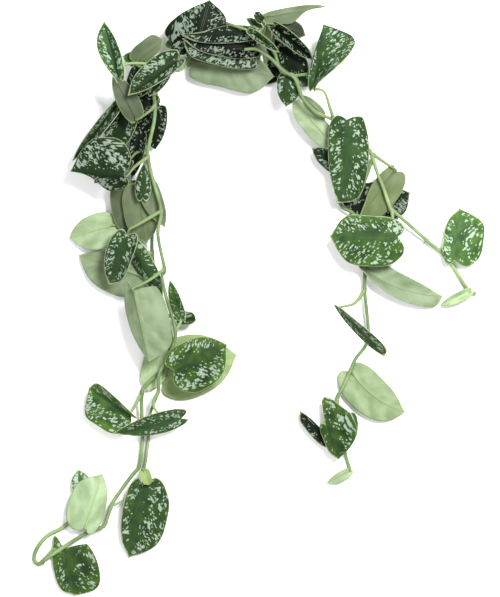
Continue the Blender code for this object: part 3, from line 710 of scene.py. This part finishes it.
def make_blade(leaf, seed, finishes):
    """A blade as a fine grid laid over its outline, with what its finishes read kept at every point."""
    clear_selection()
    rows = min(max(round(leaf_length(leaf) / ROW_LENGTH), FEWEST_ROWS), MOST_ROWS)
    bpy.ops.mesh.primitive_grid_add(x_subdivisions=rows, y_subdivisions=BLADE_COLUMNS, size=2.0)
    blade = bpy.context.object
    blade.name = leaf.name
    places, edges = [], []
    for vertex in blade.data.vertices:
        point, vein, out, edge = blade_point(leaf, seed, (vertex.co.x + 1) / 2, vertex.co.y)
        vertex.co = point
        places.append((vein, out, seed))
        edges.append(edge)
    look = LOOKS[leaf.name]
    store_triples(blade.data, "place", places)
    store_numbers(blade.data, "edge", edges)
    # The look holds the leaf's light value, which paints the light and shade that fall on the leaf.
    store_triples(blade.data, "look", [(look.silver, look.light, look.warm)] * len(places))
    store_triples(blade.data, "wear", [(look.rib, look.brown, 0.0)] * len(places))
    weld(blade)
    thicken(blade, leaf.face, finishes)
    bpy.ops.object.shade_smooth()
    return blade


def make_tube(name, path, radii, skins, finish):
    """A round stalk along a path, with its own radius and its own skin at every point of it."""
    clear_selection()
    bpy.ops.curve.primitive_nurbs_path_add()
    tube = bpy.context.object
    tube.name = name
    curve = tube.data
    curve.splines.clear()
    curve.bevel_depth = MM
    curve.bevel_resolution = STALK_SIDES_STEP
    curve.use_fill_caps = True
    spline = curve.splines.new("POLY")
    spline.points.add(len(path) - 1)
    for point, place, radius in zip(spline.points, path, radii):
        point.co = (*place, 1.0)
        point.radius = radius
    bpy.ops.object.convert(target="MESH")
    tube = bpy.context.object
    weld(tube)
    closest = [min(range(len(path)), key=lambda i: (path[i] - v.co).length) for v in tube.data.vertices]
    store_triples(tube.data, "skin", [skins[i] for i in closest])
    tube.data.materials.clear()
    tube.data.materials.append(finish)
    bpy.ops.object.shade_smooth_by_angle(angle=math.radians(STALK_SMOOTH_ANGLE))
    return tube


def nearest(path, x, y):
    """The point of a path that lies under a place on the sheet."""
    target = sheet(x, y, 0)
    return min(path, key=lambda p: (p.xy - target.xy).length)


def joint_gaps(vine, path):
    """How far each point of a stem is from the nearest joint of it."""
    joints = [nearest(path, *leaf.joint) for leaf in vine.leaves]
    return [min((place - joint).length for joint in joints) for place in path]


def stem_radii(vine, path):
    """The stem changes evenly in thickness along its length and swells at every joint."""
    radii = []
    for i, (place, gap) in enumerate(zip(path, joint_gaps(vine, path))):
        radius = between(vine.radius, vine.tip_radius, i / (len(path) - 1))
        uneven = 1 + STEM_UNEVEN * noise.noise(place * STEM_GRAIN)
        radii.append(radius * uneven * (1 + NODE_SWELLING * math.exp(-((gap / (NODE_REACH * MM)) ** 2))))
    return radii


def stem_skins(vine, path):
    """The stem changes evenly in lightness, which is partly painted shade near the crown and painted light
    towards its free end, and is browner beside each joint, where an old sheath has dried away."""
    first, last = STEM_SHADE_AND_LIGHT.get(vine.name, (1.0, 1.0))
    skins = []
    for i, gap in enumerate(joint_gaps(vine, path)):
        # Partly painted shade and light: darker at the start under the crown, paler towards the free end
        light = between(first, last, i / (len(path) - 1))
        age = SCAR_AGE * math.exp(-((gap / (SCAR_REACH * MM) - 1) ** 2) * SCAR_SHARP)
        skins.append((STEM_KIND, light, age))
    return skins


def petiole_route(leaf, stem):
    """The places that a leaf stalk goes through, from the stem to the blade. Where it comes from the tip's
    side, it meets an upper face from below."""
    start = nearest(stem, *leaf.joint)
    base, forward, side, up = midrib(leaf, 0.0)
    route = [start] + [sheet(*p) for p in leaf.via]
    if leaf.face == UPPER and (start - base).dot(forward) > 0:
        place, forward, side, up = midrib(leaf, NECK_PLACE)
        return route + [place + up * (below(leaf) * NECK_DROP * MM)]
    neck = base + up * (below(leaf) * NECK_DROP * MM)
    approach = min(APPROACH * MM, APPROACH_SHARE * (base - start).length)
    return route + [neck - forward * approach, neck]


def petiole_path(leaf, stem):
    """A leaf stalk from the stem to the blade, going on as the raised rib of the blade's underside, with
    its radius and its skin at every point."""
    stalk = smooth_path(petiole_route(leaf, stem), PETIOLE_STEPS)
    # The stalk goes from the stem's lightness to the leaf's light value and its rib keeps that value, so
    # they carry the leaf's painted light and shade.
    light = LOOKS[leaf.name].light
    radii, skins = [], []
    for i in range(len(stalk)):
        share = i / (len(stalk) - 1)
        radius = between(SHEATH_RADIUS, PETIOLE_RADIUS, smooth_step(0.0, SHEATH_END, share))
        radii.append(between(radius, NECK_RADIUS, smooth_step(NECK_START, 1.0, share)))
        skins.append((STALK_KIND, between(1.0, light, share), 0.0))
    for i in range(1, RIB_STEPS + 1):
        share = RIB_REACH * i / RIB_STEPS
        radius = between(RIB_START_RADIUS, RIB_END_RADIUS, share / RIB_REACH)
        place, forward, side, up = midrib(leaf, share)
        groove = MIDRIB_DEPTH * (1 - share**2)
        stalk.append(place + up * (below(leaf) * (groove + BLADE_THICKNESS / 2 + RIB_SINK * radius) * MM))
        radii.append(radius)
        skins.append((RIB_KIND, light, 0.0))
    return stalk, radii, skins


class Value:
    """A shader socket. Arithmetic on it in Python adds the Math nodes that work it out."""

    def __init__(self, finish, socket):
        self.finish = finish
        self.socket = socket

    def other(self, output):
        """Another output of the same node."""
        return Value(self.finish, self.socket.node.outputs[output])

    def __add__(self, other):
        return self.finish.math("ADD", self, other)

    def __radd__(self, other):
        return self.finish.math("ADD", other, self)

    def __sub__(self, other):
        return self.finish.math("SUBTRACT", self, other)

    def __rsub__(self, other):
        return self.finish.math("SUBTRACT", other, self)

    def __mul__(self, other):
        return self.finish.math("MULTIPLY", self, other)

    def __rmul__(self, other):
        return self.finish.math("MULTIPLY", other, self)

    def __truediv__(self, other):
        return self.finish.math("DIVIDE", self, other)

    def __rtruediv__(self, other):
        return self.finish.math("DIVIDE", other, self)

    def __abs__(self):
        return self.finish.math("ABSOLUTE", self)


class Finish:
    """A material. Its nodes are added by these methods and feed its one shader."""

    def __init__(self, name, **constants):
        self.material = bpy.data.materials.new(name)
        self.material.use_nodes = True
        self.tree = self.material.node_tree
        self.shader = self.tree.nodes["Principled BSDF"]
        for socket, value in constants.items():
            self.shader.inputs[socket.replace("_", " ")].default_value = value

    def fill(self, node, sockets):
        for name, value in sockets.items():
            if isinstance(value, Value):
                self.tree.links.new(value.socket, node.inputs[name])
            else:
                node.inputs[name].default_value = value

    def add(self, kind, settings, sockets, output=0):
        """A node of one kind, with its settings and then the values or links of its sockets."""
        node = self.tree.nodes.new(kind)
        for name, value in settings.items():
            setattr(node, name, value)
        self.fill(node, sockets)
        return Value(self, node.outputs[output])

    def math(self, operation, *numbers):
        return self.add("ShaderNodeMath", {"operation": operation}, dict(enumerate(numbers)))

    def attribute(self, name, output="Vector"):
        return self.add("ShaderNodeAttribute", {"attribute_name": name}, {}, output)

    def parts(self, vector):
        """The three numbers of a vector."""
        x = self.add("ShaderNodeSeparateXYZ", {}, {0: vector})
        return x, x.other(1), x.other(2)

    def vector(self, x, y, z):
        return self.add("ShaderNodeCombineXYZ", {}, {0: x, 1: y, 2: z})

    def noise(self, vector, scale, detail, roughness=0.5):
        """Smooth noise round 0, mostly between -0.3 and 0.3."""
        sockets = {"Vector": vector, "Scale": scale, "Detail": detail, "Roughness": roughness}
        return self.add("ShaderNodeTexNoise", {}, sockets) - 0.5

    def cells(self, vector, feature="F1"):
        """Cells one unit apart, as the distance from the middle of each or from its edge."""
        return self.add("ShaderNodeTexVoronoi", {"feature": feature}, {"Vector": vector, "Scale": 1.0})

    def step(self, value, low, high):
        """From 0 to 1 as the value goes from low to high."""
        sockets = {"Value": value, "From Min": low, "From Max": high}
        return self.add("ShaderNodeMapRange", {"interpolation_type": "SMOOTHSTEP"}, sockets)

    def mix(self, share, first, second):
        """A colour that goes from the first to the second."""
        return self.add("ShaderNodeMix", {"data_type": "RGBA"}, {0: share, 6: first, 7: second}, 2)

    def times(self, vector, amount):
        """A colour or a vector times a number."""
        first = vector if isinstance(vector, Value) else vector[:3]
        return self.add("ShaderNodeVectorMath", {"operation": "SCALE"}, {0: first, "Scale": amount})

    def done(self, colour, roughness, height, depth):
        """Feeds the shader. The height is in shares of the depth, in metres."""
        sockets = {"Height": height, "Distance": depth, "Strength": 1.0}
        bump = self.add("ShaderNodeBump", {}, sockets, "Normal")
        self.fill(self.shader, {"Base Color": colour, "Roughness": roughness, "Normal": bump})
        return self.material


class BladeFinish(Finish):
    """A finish of a blade. It reads where on the blade a place is, in millimetres, and the leaf's look."""

    def __init__(self, name, **constants):
        super().__init__(name, **constants)
        self.vein, self.out, self.seed = self.parts(self.attribute("place"))
        self.edge = self.attribute("edge", "Fac")
        self.silver, self.light, self.warm = self.parts(self.attribute("look"))
        self.rib, self.brown = self.parts(self.attribute("wear"))[:2]
        self.reach = abs(self.out)

    def dried(self, uneven):
        """How far the side of the blade that has dried is brown."""
        return self.step(self.out * self.brown, 0.0, 3.0) * self.step(uneven, -0.1, 0.1) * abs(self.brown)


def colour(*levels):
    """The paint that shows as this colour, as red, green and blue from 0 to 255, in the studio, which is
    lit so brightly that its pale floor shows white."""
    return (*(PAINT * ((level / 255 + 0.055) / 1.055) ** 2.4 for level in levels), 1.0)


# The paints, as red, green and blue from 0 to 255 under the studio's light
SATIN_DEEP = colour(42, 66, 34)
# A grey-blue painted sheen, laid along the midrib of the upper face
SATIN_GREEN = colour(60, 90, 44)
PAINTED_SHEEN = colour(58, 84, 56)
SATIN_LEAFY = colour(88, 126, 40)
SILVER_DULL = colour(160, 184, 160)
SILVER_BRIGHT = colour(190, 208, 188)
RIB_PALE = colour(160, 172, 158)
MARGIN_PALE = colour(190, 210, 164)
MARGIN_LEAFY = colour(168, 192, 122)
MARGIN_BROWN = colour(134, 96, 56)
SAGE_DEEP = colour(148, 172, 126)
SAGE_PALE = colour(172, 194, 152)
SAGE_RIB = colour(172, 196, 142)
SAGE_LEAFY = colour(168, 196, 92)
STEM_DEEP = colour(98, 126, 76)
STEM_GREEN = colour(140, 166, 110)
STALK_GREEN = colour(146, 174, 112)
STEM_FLECK = colour(178, 198, 146)
SCAR_BROWN = colour(112, 84, 52)


def silver_splashes(finish, own, ragged):
    """Where the silver lies. The blade is parted into small ragged fields, swept as its side veins are, and
    each field is all silver or all green, by chance and by the patch that it lies in. The midrib and the
    margin are barer. Small round dots lie between."""
    vein, reach, edge = finish.vein, finish.reach, finish.edge
    bend = finish.noise(finish.vector(vein, reach, own + 50.0), 0.45, 1.0)
    along = vein * FIELDS_ALONG + bend * FIELD_BEND[0] + ragged * FIELD_FRAY[0]
    out = reach * FIELDS_OUT + bend * FIELD_BEND[1] + ragged * FIELD_FRAY[1]
    field = finish.cells(finish.vector(along, out, own))
    middle = field.other("Position")
    chance = finish.parts(field.other("Color"))[0]
    patch = finish.noise(middle, 0.75, 0.0) + finish.noise(middle, 0.2, 0.0) * 0.45 + chance * 0.26
    bare = finish.step(reach / (reach + edge), 0.4, 0.12) * 0.4 + finish.step(edge, 2.4, 0.8) * 0.25
    splash = finish.step(patch - bare + finish.silver * 0.3, 0.4, 0.43)
    dot = finish.cells(finish.vector(vein * DOTS + ragged * 0.5, reach * DOTS, own + 20.0))
    chance = finish.parts(dot.other("Color"))[0]
    small = dot + chance * 0.9 - finish.silver * 0.3 + finish.step(reach, 5.0, 2.0)
    streak = finish.noise(finish.vector(vein * 1.6, reach * 0.3, own), 1.0, 2.0)
    return finish.math("MAXIMUM", splash, finish.step(small, 0.36, 0.3)) * (0.95 + streak * 0.5)


def satin_upper():
    """The upper face: satin green, a little deeper and greyer towards the midrib, where a sheen is painted
    on, splashed with silver, with a pale margin.
    """
    finish = BladeFinish("satin_upper", Specular_IOR_Level=0.04)
    reach, edge, light = finish.reach, finish.edge, finish.light
    own = finish.seed * 13.0 + finish.math("SIGN", finish.out) * 3.0
    wide = finish.vector(finish.vein, finish.out, own)
    uneven = finish.noise(wide, 0.1, 2.0)
    fine = finish.noise(wide, 1.1, 3.0, 0.6)
    splash = silver_splashes(finish, own, finish.noise(wide, 1.9, 1.0))
    body = finish.mix(finish.step(uneven, -0.22, 0.22), SATIN_DEEP, SATIN_GREEN)
    # Painted sheen: the green turns grey-blue towards the midrib
    body = finish.mix(finish.step(reach, 11.0, 0.0) * 0.5, body, PAINTED_SHEEN)
    leafy = finish.step(edge, 11.0, 0.0) * 0.5 + 0.2 + uneven * 1.5 + fine * 0.6
    body = finish.mix(leafy * finish.warm, body, SATIN_LEAFY)
    rib = finish.step(abs(reach - 0.9), 0.6, 0.1) * finish.rib
    body = finish.mix(rib * 0.8, body, RIB_PALE)
    # The leaf's light value paints the light and shade that fall on it: fully on the green, more weakly on
    # the silver and the margin.
    body = finish.times(body, light * (1.0 + fine * 0.5))
    silvery = finish.mix(finish.step(fine, -0.2, 0.2), SILVER_DULL, SILVER_BRIGHT)
    body = finish.mix(splash, body, finish.times(silvery, light * 0.45 + 0.55))
    margin = finish.mix(finish.dried(uneven), finish.times(MARGIN_PALE, light * 0.5 + 0.5), MARGIN_BROWN)
    at_margin = finish.step(edge - uneven * 1.5, MARGIN, MARGIN * 0.4)
    body = finish.mix(at_margin * 0.85, body, margin)
    return finish.done(body, 0.54 + splash * 0.1 + fine * 0.1, fine * 0.6 + splash * 0.3, 0.0001)


def sage_underside():
    """The underside: pale sage green, with fine veins that stand out a little."""
    finish = BladeFinish("sage_underside", Specular_IOR_Level=0.15)
    vein, out, seed = finish.vein, finish.out, finish.seed
    wide = finish.vector(vein, out, seed * 17.0)
    uneven = finish.noise(wide, 0.08, 2.0)
    fine = finish.noise(wide, 0.9, 3.0, 0.6)
    veins = finish.step(abs(finish.math("FRACT", vein / VEIN_SPACING) - 0.5), 0.42, 0.5)
    net = finish.cells(finish.vector(vein * 0.5, out * 0.35, seed * 5.0), "DISTANCE_TO_EDGE")
    body = finish.mix(finish.step(uneven, -0.25, 0.25), SAGE_DEEP, SAGE_PALE)
    body = finish.mix(finish.step(finish.reach, 5.0, 0.5) * 0.4, body, SAGE_RIB)
    body = finish.mix(finish.step(finish.warm, 0.3, 1.3), body, SAGE_LEAFY)
    shade = 1.0 + fine * 0.2 + uneven * 0.4 - veins * 0.03 - finish.step(net, 0.06, 0.0) * 0.03
    # The leaf's light value paints the light and shade that fall on it.
    body = finish.times(body, finish.light * shade)
    body = finish.mix(finish.step(finish.edge, MARGIN * 1.2, MARGIN * 0.4) * 0.5, body, MARGIN_LEAFY)
    return finish.done(body, 0.52 + fine * 0.1, fine * 0.6 + veins * 0.3, 0.00008)


def pale_rim():
    """The thin rim of a blade, between its two faces."""
    finish = BladeFinish("pale_rim", Specular_IOR_Level=0.15)
    uneven = finish.noise(finish.vector(finish.vein, finish.out, finish.seed * 17.0), 0.3, 2.0)
    body = finish.mix(finish.step(uneven, -0.2, 0.2), MARGIN_LEAFY, MARGIN_PALE)
    body = finish.mix(finish.dried(uneven), body, MARGIN_BROWN)
    # Half of the leaf's light value, which paints the light and shade that fall on the leaf.
    body = finish.times(body, finish.light * 0.5 + 0.5)
    return finish.done(body, 0.5 + uneven * 0.1, uneven, 0.00005)


def stalk_skin():
    """The skin of stems, leaf stalks and ribs: green, uneven and flecked. A rib is as pale as the underside
    that it runs on."""
    finish = Finish("stalk_skin", Specular_IOR_Level=0.2)
    place = finish.add("ShaderNodeTexCoord", {}, {}, "Object")
    kind, light, age = finish.parts(finish.attribute("skin"))
    uneven = finish.noise(place, 45.0, 2.0)
    fine = finish.noise(place, 900.0, 3.0, 0.6)
    flecks = finish.cells(finish.times(place, 700.0))
    body = finish.mix(finish.step(uneven, -0.2, 0.2), STEM_DEEP, STEM_GREEN)
    body = finish.mix(finish.step(kind, 0.0, STALK_KIND), body, STALK_GREEN)
    body = finish.mix(finish.step(flecks, 0.25, 0.1) * 0.3, body, STEM_FLECK)
    body = finish.mix(finish.step(kind, 0.55, RIB_KIND), body, SAGE_RIB)
    body = finish.mix(age * 0.8, body, SCAR_BROWN)
    # The skin's light holds the painted light and shade of the stems, and of the leaves whose stalks and
    # ribs these are.
    body = finish.times(body, light * (1.0 + fine * 0.25))
    return finish.done(body, 0.48 + fine * 0.1, fine, 0.00008)


def make_floor():
    """A plain pale floor."""
    clear_selection()
    bpy.ops.mesh.primitive_plane_add(size=FLOOR_SIZE, location=(0, 0, FLOOR_DROP))
    floor = bpy.context.object
    floor.name = "floor"
    finish = Finish("pale_floor", Roughness=0.9, Base_Color=(FLOOR_GREY, FLOOR_GREY, FLOOR_GREY, 1.0))
    floor.data.materials.append(finish.material)


def make_lights():
    """Soft studio light: a bright pale room and large lamps above."""
    world = bpy.data.worlds.new("studio")
    bpy.context.scene.world = world
    world.use_nodes = True
    sky = world.node_tree.nodes["Background"]
    sky.inputs["Color"].default_value = (1.0, 1.0, 1.0, 1.0)
    sky.inputs["Strength"].default_value = SKY_STRENGTH
    for name, place, power, size in LAMPS:
        clear_selection()
        bpy.ops.object.light_add(type="AREA", location=place)
        lamp = bpy.context.object
        lamp.name = name
        lamp.data.energy = power
        lamp.data.size = size
        lamp.rotation_euler = (-Vector(place)).to_track_quat("-Z", "Y").to_euler()


def make_camera():
    """The camera looks straight down on the sheet from far above, with the whole of it in view."""
    camera_data = bpy.data.cameras.new("camera")
    camera_data.lens = LENS
    camera_data.sensor_width = SENSOR
    camera_data.clip_end = CLIP_END
    camera = bpy.data.objects.new("camera", camera_data)
    bpy.context.scene.collection.objects.link(camera)
    camera.location = sheet(*VIEW_MIDDLE, FOCUS_HEIGHT) + Vector((0, 0, VIEW_SIDE * MM * LENS / SENSOR))
    bpy.context.scene.camera = camera
    bpy.context.scene.view_settings.view_transform = "Standard"


def make_stub(start, end, radius, finish):
    """A brown root, or where it is thicker the pale stub of a cut shoot, thinner at its free end."""
    skin = ROOT_SKIN if radius < ROOT_RADIUS else SHOOT_SKIN
    path = (sheet(*start), sheet(*end))
    return make_tube("stub", path, (radius, radius * STUB_TAPER), (skin, skin), finish)


def make_vine(vine, first_seed, blade_finishes, stalk_finish):
    """The leaves of one vine as one piece, and its stem with all its stalks as another."""
    path = smooth_path([sheet(*p) for p in vine.route], STEM_STEPS)
    stem = make_tube(vine.name + "_stem", path, stem_radii(vine, path), stem_skins(vine, path), stalk_finish)
    blades, stalks = [], [stem]
    for i, leaf in enumerate(vine.leaves):
        blades.append(make_blade(leaf, first_seed + i, blade_finishes))
        stalks.append(make_tube(leaf.name + "_stalk", *petiole_path(leaf, path), stalk_finish))
    stalks += [make_stub(*stub, stalk_finish) for stub in vine.stubs]
    for name, objs in ((vine.name + "_leaves", blades), (vine.name + "_stalks", stalks)):
        piece = join(name, objs)
        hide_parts(vine.name)
        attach(piece, "root")


def main():
    make_camera()
    make_floor()
    make_lights()
    blade_finishes = (satin_upper(), sage_underside(), pale_rim())
    stalk_finish = stalk_skin()
    seed = 1
    for vine in VINES:
        make_vine(vine, seed, blade_finishes, stalk_finish)
        seed += len(vine.leaves)


main()
